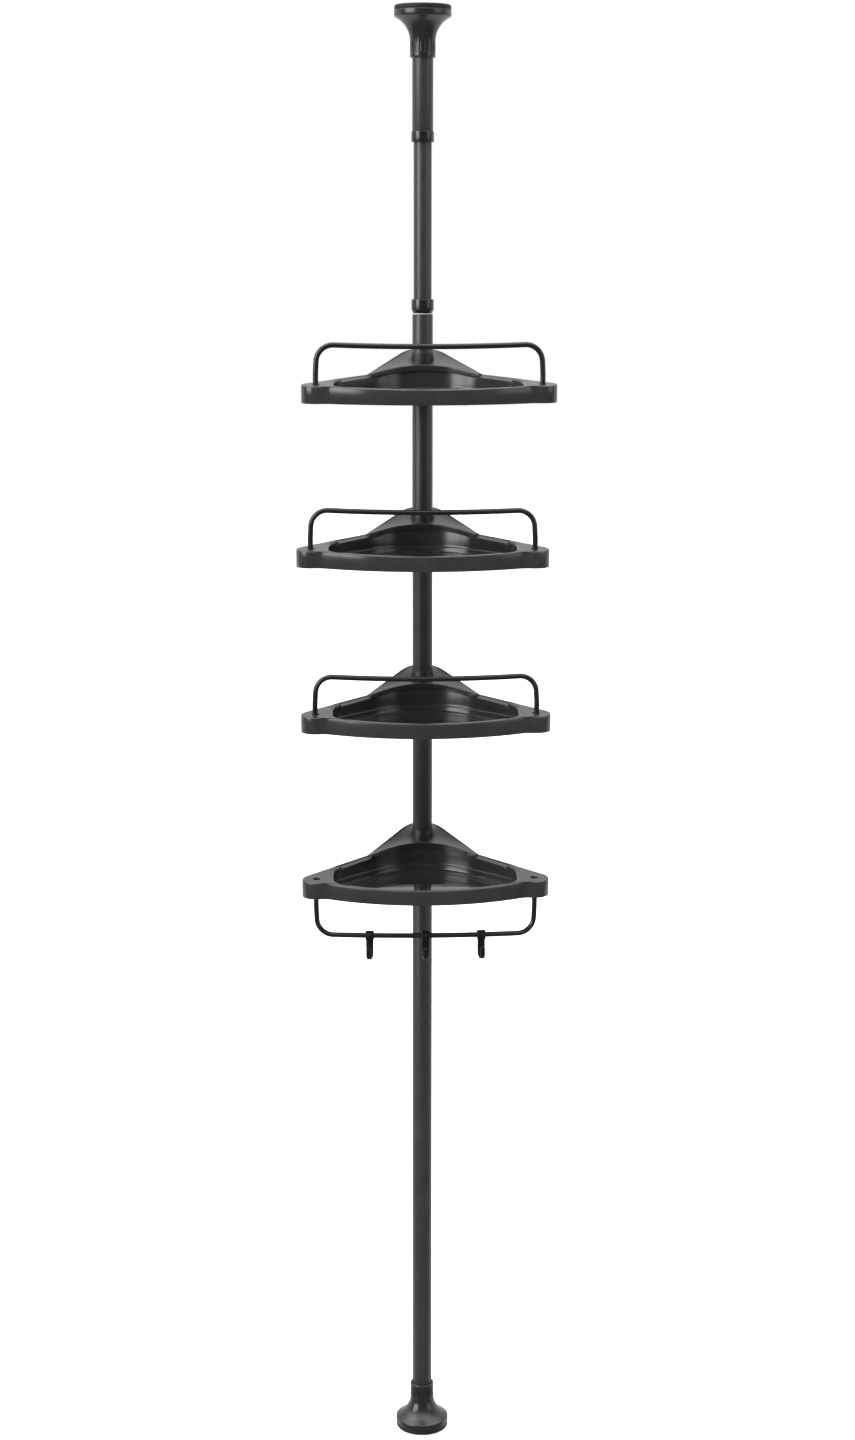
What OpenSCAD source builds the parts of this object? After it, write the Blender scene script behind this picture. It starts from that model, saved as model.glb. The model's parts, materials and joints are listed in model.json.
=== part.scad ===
// Floor-to-ceiling tension-pole shower caddy: a sprung telescoping pole carries four
// corner trays on split wedge clips. The lowest tray's rail hangs down and holds hooks.
// The origin is on the pole's axis at the underside of the foot pad, +Z up, +Y into the corner.

/* [Pole] */
// Height from the floor face to the ceiling face
overall_h = 1820; // [1800:1:1840]
// Diameter of the main pole and of the upper tube
pole_d = 25; // [24:0.5:25]
// Wall of the main pole and of the upper tube
pole_wall = 1; // [0.8:0.1:1]
// Diameter of the slim tube that telescopes
slide_tube_d = 21.8; // [21:0.1:21.8]
// Wall of the slim tube
slide_tube_wall = 1; // [0.8:0.1:1.2]
// Height of the main pole's top end
pole_top = 1459; // [1450:1:1465]
// Height of the seam between the two pole sections
pole_seam = 790; // [770:1:800]
// Height of the slim tube's lower end
slide_tube_bottom = 1160; // [1120:1:1200]
// Height of the lower edge of the upper collar
upper_collar_z = 1662; // [1640:1:1680]
// Outer diameter of both collars
collar_d = 27.2; // [27:0.1:29]

/* [Ends] */
// Diameter of the bell-shaped ends
bell_d = 68.4; // [64:0.2:74]
// Height of a bell without its pad
bell_h = 55; // [53:1:58]
// Outer diameter of a bell's neck
neck_d = 30.4; // [29.6:0.2:32]
// Thickness of the rubber pads outside the bells
pad_t = 5.5; // [4:0.5:7]
// Number of finger grooves round a neck
neck_grooves = 20; // [12:1:24]

/* [Trays] */
// Overall width of a tray
tray_w = 300; // [290:1:310]
// Distance from the pole's axis to the middle of the front edge
tray_front = 176; // [170:1:182]
// Depth of a tray below the middle of its end bosses
tray_h = 20; // [18:0.5:24]
// Radius of the round end bosses
boss_r = 17.7; // [16:0.1:19]
// Radius of the bowed front edge
front_r = 235; // [225:1:250]
// Radius of the hub behind the pole
hub_r = 21.4; // [21:0.1:22]
// Width of the rim in front of the basin
rim_w = 5.5; // [4.5:0.1:7]
// Height of the hub's crest above the bosses
crest_h = 35; // [32:0.5:38]
// Height of each tray's rim above the floor, from the top tray down
tray_z = [1381, 1188, 989, 785]; // [750:1:1400]
// Turn of each tray about the pole, from the top tray down
tray_turn = [3.8, 0.3, 2.1, 1.9]; // [-6:0.1:6]

/* [Rails and hooks] */
// Diameter of the rail wire
wire_d = 6.4; // [5:0.1:6.4]
// Height of an upper rail above the bosses
rail_up = 47.2; // [40:0.1:50]
// Drop of the lowest tray's rail below the bosses
rail_down = 68.4; // [64:0.1:76]
// Radius of the rail's corners
rail_corner_r = 20; // [16:1:24]
// Angle that each half of the rail's front bar bows through
rail_bow = 7; // [4:0.5:9]
// Sideways places of the hooks from the tray's middle
hook_x = [-68, 0, 68]; // [-80:1:80]
// Width of a hook's shank
hook_w = 9.2; // [8:0.1:10]

/* [Hidden] */
$fn = 64;

BLACK = [0.10, 0.10, 0.10];
CHARCOAL = [0.20, 0.20, 0.20];
RUBBER = [0.06, 0.06, 0.06];
NYLON = [0.85, 0.85, 0.82];
STEEL = [0.65, 0.66, 0.68];

pole_r = pole_d / 2;
pole_bore_r = pole_r - pole_wall;
slide_r = slide_tube_d / 2;
slide_bore_r = slide_r - slide_tube_wall;
collar_r = collar_d / 2;
bell_r = bell_d / 2;
neck_r = neck_d / 2;
running = 0.05;             // radial clearance of a sliding or turning fit
eps = 0.01;                 // overlap that makes joined shapes one solid

// Ends
bell_top = pad_t + bell_h;  // neck's end above the floor face
rim_band = 7.5;             // height of the bell's straight rim
flare_r = 30.8;             // radius of the bell's concave flare
flare_z = 42;               // height at which the flare meets the neck
pad_plug_r = bell_r - 3.4;  // plug of the pad inside the bell
pad_plug_h = 4;
tube_stop = 14;             // height at which a tube bottoms in its bell

// Telescoping parts
lock_flange_t = 1.5;
lock_sleeve_l = 32;
lock_collar_h = 16.5;
collar_taper_h = 4;
upper_collar_h = 13;
upper_spigot_h = 16;
joiner_l = 90;
joiner_wall = 1.4;
slide_tube_top = 1705;
seat_h = 9;
seat_flange_t = 3;
plug_l = 24;
spring_wire_r = 0.9;
spring_r = 8.6;
spring_turns = 10;
spring_steps = 14;          // rings of the wire in each turn
spring_top = overall_h - tube_stop;

// Trays
boss_x = tray_w / 2 - boss_r;
corner = hub_r * sqrt(2);   // the straight back edges lie on |x| + y = corner
boss_y = corner - boss_r * sqrt(2) - boss_x;
front_cy = front_r - tray_front;
web_r = 20;                 // radius of the web between a boss and the bowed front
rim_slope = 4.2;            // degrees by which the rim rises towards the pole
rim_zero = 20.4;            // the rim's plane is at height 0 this far in front of the bosses' middle
strip_w = 7;                // bevelled strip between the basin and a straight back edge
floor_t = 3;
ledge_z = -10;              // height of the step inside the basin
ledge_w = 2.5;
basin_half_w = 111.5;
basin_corner_r = 32;
crown_r = 580;              // the basin's floor is slightly domed
crown_h = 5.5;
crown_y = -95;
inner_corner = corner - strip_w * sqrt(2);
lip_r = 91;                 // radius of the basin's back corner
lip_cy = inner_corner - lip_r * sqrt(2);
lip_h = 17.8;               // height of the hub's lip in the middle
lip_drop = 8;               // fall of the lip at lip_span from the middle
lip_span = 62;
crest_flat = 12;            // half width of the level crest
crest_round = 16;           // sideways length of the rounding beside it
crest_slope = 0.54;
shield_bow = 1.35;          // above 1 the hub's top is hollow from lip to crest
shield_end = 48;            // degrees of the basin corner that the hub's top spans
shield_steps = 31;
shield_s = [-0.08, 0.02, 0.2, 0.42, 0.66, 0.9, 1.08];
tray_cut_h = 60;            // height of cutting shapes above a tray
post_counterbore_r = 4.4;
post_counterbore_h = 3;
boss_core_r = boss_r - 3;
boss_sleeve_r = 6.5;
boss_top_t = 4;
drain_d = 4;
drain_count = 4;            // holes on each side of the middle one
drain_pitch = 4.5;          // degrees of the front arc between holes

// Wedge clips
clip_bottom = -tray_h + 2;
clip_top = crest_h - 3;
clip_r_top = pole_r + 0.8;
clip_r_bottom = pole_r + 2.4;
clip_gap = 1;               // space between the two halves

// Rails
rail_y = boss_y;
rail_sag = 1.8;             // the middle of an upper rail's bar is this much lower
wire_r = wire_d / 2;
wire_sides = 16;
bar_r = (boss_x - rail_corner_r * cos(rail_bow)) / sin(rail_bow);
bar_y = rail_y - bar_r * (1 - cos(rail_bow)) - rail_corner_r * sin(rail_bow);

// Hooks
ring_w = 10;
ring_r = 6.2;
ring_bore_r = wire_r + 0.5;
hook_drop = 0.4;            // how far a ring hangs below the wire's axis
hook_t = 3.2;
hook_bend_r = 8;
hook_bend_z = -18;
prong_w = 5.6;
prong_top = -12;

// ---------- shared shapes ----------

// Points of an arc about c, from angle a0 to a1, in equal steps of about step degrees.
function arc(c, r, a0, a1, step = 5) = let (n = max(2, round(abs(a1 - a0) / step)))
    [for (i = [0 : n]) let (a = a0 + (a1 - a0) * i / n) c + r * [cos(a), sin(a)]];
function mirrored(points) = [for (i = [len(points) - 1 : -1 : 0]) [-points[i][0], points[i][1]]];

// Faces of a closed skin over rings of m points each, with flat ends.
function skin_faces(rings, m) = concat(
    [[for (k = [0 : m - 1]) k]],
    [for (i = [0 : rings - 2]) for (k = [0 : m - 1]) let (q = (k + 1) % m)
        each [[i * m + k, (i + 1) * m + k, (i + 1) * m + q], [i * m + k, (i + 1) * m + q, i * m + q]]],
    [[for (k = [m - 1 : -1 : 0]) (rings - 1) * m + k]]);

// A tube standing from z0 to z1.
module tube(z0, z1, outer, bore) {
    translate([0, 0, z0]) difference() {
        cylinder(r = outer, h = z1 - z0);
        translate([0, 0, -1]) cylinder(r = bore, h = z1 - z0 + 2);
    }
}

// Half section of a bell, rim down, with the rim's underside at pad_t.
module bell_section() {
    chamfer = 1.6;
    difference() {
        union() {
            polygon([[0, pad_t], [neck_r, pad_t], [neck_r, bell_top - chamfer],
                     [neck_r - chamfer, bell_top], [0, bell_top]]);
            polygon([[0, pad_t + 0.6], [bell_r - 0.6, pad_t], [bell_r, pad_t + 0.6],
                     [bell_r, pad_t + rim_band], [bell_r - 2.4, flare_z], [0, flare_z]]);
        }
        translate([neck_r + flare_r - 0.3, flare_z]) circle(r = flare_r, $fn = 96);
        translate([neck_r, flare_z - 0.4]) square([bell_r, 2]);
    }
}

module bell() {
    groove_w = 1.9;
    groove_deep = 0.8;
    groove_h = 12.5;
    difference() {
        rotate_extrude() bell_section();
        translate([0, 0, tube_stop]) cylinder(r = pole_r, h = bell_top);
        translate([0, 0, pad_t - 1]) cylinder(r = pad_plug_r, h = pad_plug_h + 1);
        for (i = [0 : neck_grooves - 1])
            rotate(360 / neck_grooves * (i + 0.28) - 90)
                translate([neck_r - groove_deep, -groove_w / 2, flare_z])
                    cube([2, groove_w, groove_h]);
    }
}

// Rubber pad with a plug that pushes into the bell and grip rings underneath.
module pad() {
    grip_w = 1.6;
    difference() {
        union() {
            rotate_extrude() polygon([[0, 0], [bell_r - 1.8, 0], [bell_r - 0.4, 1.4],
                                      [bell_r - 0.4, pad_t], [0, pad_t]]);
            cylinder(r = pad_plug_r, h = pad_t + pad_plug_h);
        }
        for (r = [14, 20, 26])
            translate([0, 0, -1]) difference() {
                cylinder(r = r + grip_w, h = 1.8);
                translate([0, 0, -1]) cylinder(r = r, h = 4);
            }
    }
}

module at_ceiling() {
    translate([0, 0, overall_h]) mirror([0, 0, 1]) children();
}

// ---------- pole ----------

module floor_pad() { color(RUBBER) pad(); }
module foot_bell() { color(BLACK) bell(); }
module ceiling_pad() { color(RUBBER) at_ceiling() pad(); }
module ceiling_bell() { color(BLACK) at_ceiling() bell(); }

module lower_pole() { color(CHARCOAL) tube(tube_stop, pole_seam, pole_r, pole_bore_r); }
module upper_pole() { color(CHARCOAL) tube(pole_seam, pole_top, pole_r, pole_bore_r); }

module pole_joiner() {
    color(STEEL) tube(pole_seam - joiner_l / 2, pole_seam + joiner_l / 2,
                      pole_bore_r, pole_bore_r - joiner_wall);
}

// Split nylon sleeve in the top of the main pole that grips the slim tube.
module lock_sleeve() {
    slits = 4;
    slit_w = 1;
    color(NYLON) difference() {
        union() {
            tube(pole_top - lock_sleeve_l, pole_top + eps, pole_bore_r, slide_r + running);
            tube(pole_top, pole_top + lock_flange_t, pole_r - 0.4, slide_r + running);
        }
        for (i = [0 : slits - 1])
            rotate(45 + 360 / slits * i)
                translate([0, -slit_w / 2, pole_top - lock_sleeve_l - 1])
                    cube([pole_r, slit_w, lock_sleeve_l - 6]);
    }
}

// Twist collar on top of the main pole, tapered towards it.
module lock_collar() {
    z0 = pole_top + lock_flange_t + running;
    color(BLACK) difference() {
        translate([0, 0, z0]) rotate_extrude()
            polygon([[0, 0], [collar_r - 1.7, 0], [collar_r, collar_taper_h],
                     [collar_r, lock_collar_h - 0.8], [collar_r - 0.8, lock_collar_h],
                     [0, lock_collar_h]]);
        translate([0, 0, z0 - 1]) cylinder(r = slide_r + running, h = lock_collar_h + 2);
    }
}

module slide_tube() { color(CHARCOAL) tube(slide_tube_bottom, slide_tube_top, slide_r, slide_bore_r); }

// Plug that centres the slim tube's lower end in the main pole.
module guide_plug() {
    head_h = 8;
    color(BLACK) {
        translate([0, 0, slide_tube_bottom - head_h])
            cylinder(r = pole_bore_r - running, h = head_h);
        translate([0, 0, slide_tube_bottom - eps])
            cylinder(r = slide_bore_r, h = plug_l - head_h);
    }
}

// Plug in the slim tube's upper end that the spring stands on.
module spring_seat() {
    color(BLACK) {
        translate([0, 0, slide_tube_top]) cylinder(r = slide_r, h = seat_flange_t);
        translate([0, 0, slide_tube_top - seat_h]) cylinder(r = slide_bore_r, h = seat_h + eps);
        translate([0, 0, slide_tube_top + seat_flange_t - eps])
            cylinder(r = spring_r - spring_wire_r - 0.6, h = 10);
    }
}

// Compression spring: a round wire swept along a helix.
module tension_spring() {
    z0 = slide_tube_top + seat_flange_t + spring_wire_r + 0.1;
    rise = spring_top - spring_wire_r - 0.1 - z0;
    n = spring_turns * spring_steps;
    sides = 6;
    points = [for (i = [0 : n]) let (a = 360 * spring_turns * i / n)
              for (k = [0 : sides - 1]) let (b = 360 * k / sides, d = spring_r + spring_wire_r * cos(b))
                  [d * cos(a), d * sin(a), z0 + rise * i / n + spring_wire_r * sin(b)]];
    color(STEEL) polyhedron(points = points, faces = skin_faces(n + 1, sides), convexity = 10);
}

// End ring of the upper tube with a spigot inside it.
module upper_collar() {
    color(BLACK) difference() {
        union() {
            translate([0, 0, upper_collar_z]) rotate_extrude()
                polygon([[0, 0], [collar_r - 0.6, 0], [collar_r, 0.6],
                         [collar_r, upper_collar_h - 1], [collar_r - 1, upper_collar_h],
                         [0, upper_collar_h]]);
            translate([0, 0, upper_collar_z]) cylinder(r = pole_bore_r,
                                                       h = upper_collar_h + upper_spigot_h);
        }
        translate([0, 0, upper_collar_z - 1])
            cylinder(r = slide_r + running, h = upper_collar_h + upper_spigot_h + 2);
    }
}

module upper_tube() {
    color(CHARCOAL) tube(upper_collar_z + upper_collar_h, overall_h - tube_stop, pole_r, pole_bore_r);
}

// ---------- trays ----------

// Right half of a tray's outline seen from above, pole at the origin, front towards -Y:
// front arc, concave web, end boss and hub.
function tray_half() =
    let (c = [0, front_cy], b = [boss_x, boss_y], d = norm(b - c),
         rc = front_r + web_r, rb = boss_r + web_r,
         turn = acos((rc * rc + d * d - rb * rb) / (2 * rc * d)),
         ac = atan2(b[1] - c[1], b[0] - c[0]) - turn,
         f = c + rc * [cos(ac), sin(ac)],
         ab = atan2(f[1] - b[1], f[0] - b[0]))
    concat(arc(c, front_r, -90, ac, 3), arc(f, web_r, ac + 180, ab + 180, 4),
           arc(b, boss_r, ab, 45), arc([0, 0], hub_r, 45, 90));
module tray_outline() { polygon(concat(tray_half(), mirrored(tray_half()))); }

// Right half of the basin's opening, drawn in by inset: front arc, two end corners and the
// wide back corner round the pole.
function basin_half(inset) =
    let (x = basin_half_w - basin_corner_r, r = basin_corner_r - inset, c = [0, front_cy],
         rf = front_r - rim_w,
         front_y = front_cy - sqrt(pow(rf - basin_corner_r, 2) - x * x),
         back_y = inner_corner - basin_corner_r * sqrt(2) - x,
         af = atan2(front_y - front_cy, x))
    concat(arc(c, rf - inset, -90, af, 3), arc([x, front_y], r, af, 0, 9),
           arc([x, back_y], r, 0, 45, 9), arc([0, lip_cy], lip_r - inset, 45, 90, 3));
module basin_outline(inset = 0) { polygon(concat(basin_half(inset), mirrored(basin_half(inset)))); }

// Space under the rim's plane, which rises towards the pole.
module under_rim() {
    translate([0, boss_y - rim_zero, 0]) rotate([rim_slope, 0, 0])
        translate([-tray_w, -tray_w, -tray_cut_h]) cube([2 * tray_w, 2 * tray_w, tray_cut_h]);
}

function rim_z(y) = (y - boss_y + rim_zero) * tan(rim_slope);
function lip_z(x) = lip_h - lip_drop * pow(x / lip_span, 2);
function crest_z(x) = let (u = max(0, abs(x) - crest_flat))
    u < crest_round ? crest_h - crest_slope * u * u / (2 * crest_round)
                    : crest_h - crest_slope * (u - crest_round / 2);
// Distance from the lip's centre to the tray's back edge along a ray at angle a.
function back_edge(a) = abs(a) > atan(corner / 2 / (corner / 2 - lip_cy))
    ? (corner - lip_cy) / (sin(abs(a)) + cos(a))
    : -lip_cy * cos(a) + sqrt(hub_r * hub_r - pow(lip_cy * sin(a), 2));

// Everything under the hub's hollow top, from in front of the lip to behind the back edge.
// The share s is 0 at the lip and 1 at the back edge.
function shield_point(a, s) =
    let (d = lip_r + (back_edge(a) - lip_r) * s, zl = lip_z(lip_r * sin(a)))
    [d * sin(a), lip_cy + d * cos(a),
     zl + (crest_z(back_edge(a) * sin(a)) - zl) * pow(max(0, s), shield_bow)];
function shield_section(a) =
    let (near = shield_point(a, shield_s[0]), far = shield_point(a, shield_s[len(shield_s) - 1]),
         over = 6 * [sin(a), cos(a), 0])
    concat([[near[0], near[1], ledge_z] - over, near - over],
           [for (s = shield_s) shield_point(a, s)],
           [far + over, [far[0], far[1], ledge_z] + over]);
module under_shield() {
    points = [for (i = [0 : shield_steps]) each shield_section(shield_end * (1 - 2 * i / shield_steps))];
    polyhedron(points = points, faces = skin_faces(shield_steps + 1, len(shield_s) + 4),
               convexity = 6);
}

// Cut that bevels the rim along one straight back edge, from the notch beside the boss to the hub.
module strip_cut(side) {
    notch = basin_half_w + 1.5;
    translate([side * notch, corner - notch, rim_z(corner - notch)])
        rotate(side > 0 ? 135 : 45) rotate([0, -atan(tan(rim_slope) / sqrt(2)), 0])
            rotate([90, 0, 90]) linear_extrude((notch - 62) * sqrt(2))
                polygon([for (p = [[0.9, 8], [0.9, 0], [3.2, -1.9], [strip_w + 4, -4.2],
                                   [strip_w + 4, 8]]) [side * p[0], p[1]]]);
}

module clip_cone(grow) {
    translate([0, 0, clip_bottom])
        cylinder(r1 = clip_r_bottom + grow, r2 = clip_r_top + grow, h = clip_top - clip_bottom);
}

// Hole, counterbores and cored underside of one end boss.
module boss_cuts() {
    translate([0, 0, -tray_h - 1]) cylinder(r = wire_r, h = tray_cut_h);
    translate([0, 0, -post_counterbore_h]) cylinder(r = post_counterbore_r, h = tray_cut_h);
    translate([0, 0, -tray_h - 1]) cylinder(r = post_counterbore_r, h = post_counterbore_h + 1);
    translate([0, 0, -tray_h - 1]) difference() {
        cylinder(r = boss_core_r, h = tray_h + 1 - boss_top_t);
        translate([0, 0, -1]) cylinder(r = boss_sleeve_r, h = tray_h + 2);
    }
}

// Drain holes through the basin's floor along the front edge.
module drains() {
    for (i = [-drain_count : drain_count])
        translate([0, front_cy, -tray_h - 1]) rotate(i * drain_pitch)
            translate([0, rim_w + ledge_w + 8 - front_r, 0]) cylinder(d = drain_d, h = tray_h);
}

// Half section of the basin floor's dome, a little deeper than the floor.
module crown_section() {
    reach = sqrt(2 * crown_r * (crown_h + 1));
    polygon(concat([[0, -4]], [for (i = [0 : 10]) let (d = reach * i / 10) [d, crown_h - d * d / (2 * crown_r)]],
                   [[reach, -4]]));
}

module tray_shape() {
    difference() {
        union() {
            difference() {
                intersection() {
                    translate([0, 0, -tray_h]) linear_extrude(tray_cut_h) tray_outline();
                    under_rim();
                }
                for (s = [-1, 1]) strip_cut(s);
            }
            intersection() {
                translate([0, 0, -tray_h]) linear_extrude(tray_cut_h) tray_outline();
                under_shield();
            }
        }
        translate([0, 0, ledge_z]) linear_extrude(tray_cut_h) basin_outline();
        difference() {
            translate([0, 0, floor_t - tray_h]) linear_extrude(tray_cut_h) basin_outline(ledge_w);
            translate([0, crown_y, floor_t - tray_h]) rotate_extrude($fn = 96) crown_section();
        }
        translate([0, 0, -tray_h - 1]) cylinder(r = clip_r_bottom + running, h = 3 + eps);
        clip_cone(running);
        translate([0, 0, clip_top - eps]) cylinder(r = clip_r_top + running, h = 20);
        for (s = [-1, 1]) translate([s * boss_x, boss_y, 0]) boss_cuts();
        drains();
    }
}

// Puts a shape in the place of tray n, counted from the top.
module at_tray(n) {
    translate([0, 0, tray_z[n - 1]]) rotate(tray_turn[n - 1]) children();
}

module tray(n) { color(BLACK) at_tray(n) tray_shape(); }

// One half of a wedge clip: side is -1 in front of the pole, 1 behind it.
module clip(n, side) {
    color(BLACK) at_tray(n) difference() {
        clip_cone(0);
        translate([0, 0, clip_bottom - 1]) cylinder(r = pole_r + running, h = clip_top - clip_bottom + 2);
        translate([-tray_w, side > 0 ? clip_gap / 2 - tray_w : -clip_gap / 2, clip_bottom - 1])
            cube([2 * tray_w, tray_w, clip_top - clip_bottom + 2]);
    }
}

// ---------- rails and hooks ----------

// Ring of the rail's wire about p, square to the plane of n1 and n2.
function wire_ring(p, n1, n2) = [for (k = [0 : wire_sides - 1]) let (b = 360 * k / wire_sides)
    p + wire_r * (cos(b) * n1 + sin(b) * n2)];
// Rings of one corner and its post, outwards from the bar: side is -1 or 1.
function rail_end(side, post_end) =
    let (t = [side * cos(rail_bow), sin(rail_bow), 0], n1 = [-side * sin(rail_bow), cos(rail_bow), 0],
         e = [side * bar_r * sin(rail_bow), bar_y + bar_r * (1 - cos(rail_bow)), 0])
    concat([for (g = [10 : 10 : 90])
                wire_ring(e + rail_corner_r * (sin(g) * t - [0, 0, 1 - cos(g)]), n1,
                          sin(g) * t + [0, 0, cos(g)])],
           [wire_ring(e + rail_corner_r * t - [0, 0, post_end], n1, t)]);
// Rail with its bar's ends at height 0 and its posts hanging down to -post_end.
module rail_shape(post_end, sag = 0) {
    left = rail_end(-1, post_end);
    rings = concat([for (i = [len(left) - 1 : -1 : 0]) left[i]],
                   [for (i = [-6 : 6]) let (b = rail_bow * i / 6)
                       wire_ring([bar_r * sin(b), bar_y + bar_r * (1 - cos(b)), -sag * (1 - i * i / 36)],
                                 [-sin(b), cos(b), 0], [0, 0, 1])],
                   rail_end(1, post_end));
    polyhedron(points = [for (r = rings) each r], faces = skin_faces(len(rings), wire_sides),
               convexity = 6);
}

module rail(n) {
    color(BLACK) at_tray(n) translate([0, 0, rail_up])
        rail_shape(rail_up + tray_h - post_counterbore_h, rail_sag);
}

module hanging_rail(n) {
    color(BLACK) at_tray(n) translate([0, 0, -rail_down]) mirror([0, 0, 1])
        rail_shape(rail_down - post_counterbore_h);
}

// Side view of a hook's bend: an arc of the strip from angle a0, over span degrees.
module hook_bend(width, a0, span) {
    translate([-width / 2, -hook_bend_r, hook_bend_z]) rotate([90, 0, 90])
        rotate(a0) rotate_extrude(angle = span) translate([hook_bend_r - hook_t / 2, 0])
            square([hook_t, width]);
}

// Hook with a ring round the rail, a shank, a bend towards the front and a slim prong.
module hook_shape() {
    difference() {
        union() {
            translate([-ring_w / 2, 0, 0]) rotate([0, 90, 0]) cylinder(r = ring_r, h = ring_w);
            translate([-hook_w / 2, -hook_t / 2, hook_bend_z]) cube([hook_w, hook_t, -hook_bend_z]);
            intersection() {
                hook_bend(hook_w, -90, 90);
                translate([0, 20, 0]) rotate([90, 0, 0]) linear_extrude(60)
                    polygon([[-hook_w / 2, hook_bend_z + 1], [hook_w / 2, hook_bend_z + 1],
                             [hook_w / 2, hook_bend_z - 2], [prong_w / 2, hook_bend_z - 11],
                             [-prong_w / 2, hook_bend_z - 11], [-hook_w / 2, hook_bend_z - 2]]);
            }
            hook_bend(prong_w, -180, 110);
            translate([-prong_w / 2, -2 * hook_bend_r - hook_t / 2, hook_bend_z - eps])
                cube([prong_w, hook_t, prong_top - hook_bend_z]);
            translate([-prong_w / 2, -2 * hook_bend_r, prong_top]) rotate([0, 90, 0])
                cylinder(r = hook_t / 2, h = prong_w);
        }
        translate([-ring_w, 0, 0]) rotate([0, 90, 0]) cylinder(r = ring_bore_r, h = 2 * ring_w);
    }
}

// A hook hanging square on the bowed bar of the lowest tray's rail.
module hook(x) {
    a = asin(x / bar_r);
    color(BLACK) at_tray(4) translate([x, bar_y + bar_r * (1 - cos(a)), -rail_down - hook_drop])
        rotate(a) hook_shape();
}

floor_pad();
foot_bell();
lower_pole();
pole_joiner();
upper_pole();
lock_sleeve();
lock_collar();
slide_tube();
guide_plug();
spring_seat();
tension_spring();
upper_collar();
upper_tube();
ceiling_bell();
ceiling_pad();
tray(1);  // tray_1
clip(1, -1);  // clip_front_1
clip(1, 1);  // clip_rear_1
rail(1);  // rail_1
tray(2);  // tray_2
clip(2, -1);  // clip_front_2
clip(2, 1);  // clip_rear_2
rail(2);  // rail_2
tray(3);  // tray_3
clip(3, -1);  // clip_front_3
clip(3, 1);  // clip_rear_3
rail(3);  // rail_3
tray(4);  // tray_4
clip(4, -1);  // clip_front_4
clip(4, 1);  // clip_rear_4
hanging_rail(4);  // rail_4
hook(hook_x[0]);  // hook_left
hook(hook_x[1]);  // hook_centre
hook(hook_x[2]);  // hook_right
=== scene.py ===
import json
import math

import bpy
import numpy as np
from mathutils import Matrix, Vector


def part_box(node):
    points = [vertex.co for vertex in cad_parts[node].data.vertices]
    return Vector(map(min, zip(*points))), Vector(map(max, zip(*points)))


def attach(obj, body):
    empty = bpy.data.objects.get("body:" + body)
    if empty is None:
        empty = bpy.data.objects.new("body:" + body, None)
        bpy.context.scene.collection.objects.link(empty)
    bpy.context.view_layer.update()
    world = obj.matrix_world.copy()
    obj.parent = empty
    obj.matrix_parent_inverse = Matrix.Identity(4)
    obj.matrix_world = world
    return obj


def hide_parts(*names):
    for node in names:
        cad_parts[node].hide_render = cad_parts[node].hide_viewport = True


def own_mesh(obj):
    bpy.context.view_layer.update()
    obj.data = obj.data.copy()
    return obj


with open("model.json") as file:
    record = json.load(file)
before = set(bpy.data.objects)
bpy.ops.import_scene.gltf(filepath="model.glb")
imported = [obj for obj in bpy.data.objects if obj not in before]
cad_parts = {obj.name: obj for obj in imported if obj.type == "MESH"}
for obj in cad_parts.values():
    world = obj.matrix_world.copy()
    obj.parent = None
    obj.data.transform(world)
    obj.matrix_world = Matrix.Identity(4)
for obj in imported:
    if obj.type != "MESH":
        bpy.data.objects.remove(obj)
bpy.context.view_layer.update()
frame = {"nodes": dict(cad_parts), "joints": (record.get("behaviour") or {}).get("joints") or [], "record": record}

# Shapes are worked out in millimetres and turned into metres when a mesh is made.
MM = 0.001
JOINTS = {j["name"]: j for j in frame["joints"]}
BODY_OF = {n: b for b, ns in frame["record"]["behaviour"]["bodies"].items() for n in ns}


def span(node):
    """Lowest and highest corner of a CAD node, in millimetres."""
    low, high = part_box(node)
    return np.array(low) / MM, np.array(high) / MM


# ---------------------------------------------------------------- materials

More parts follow.
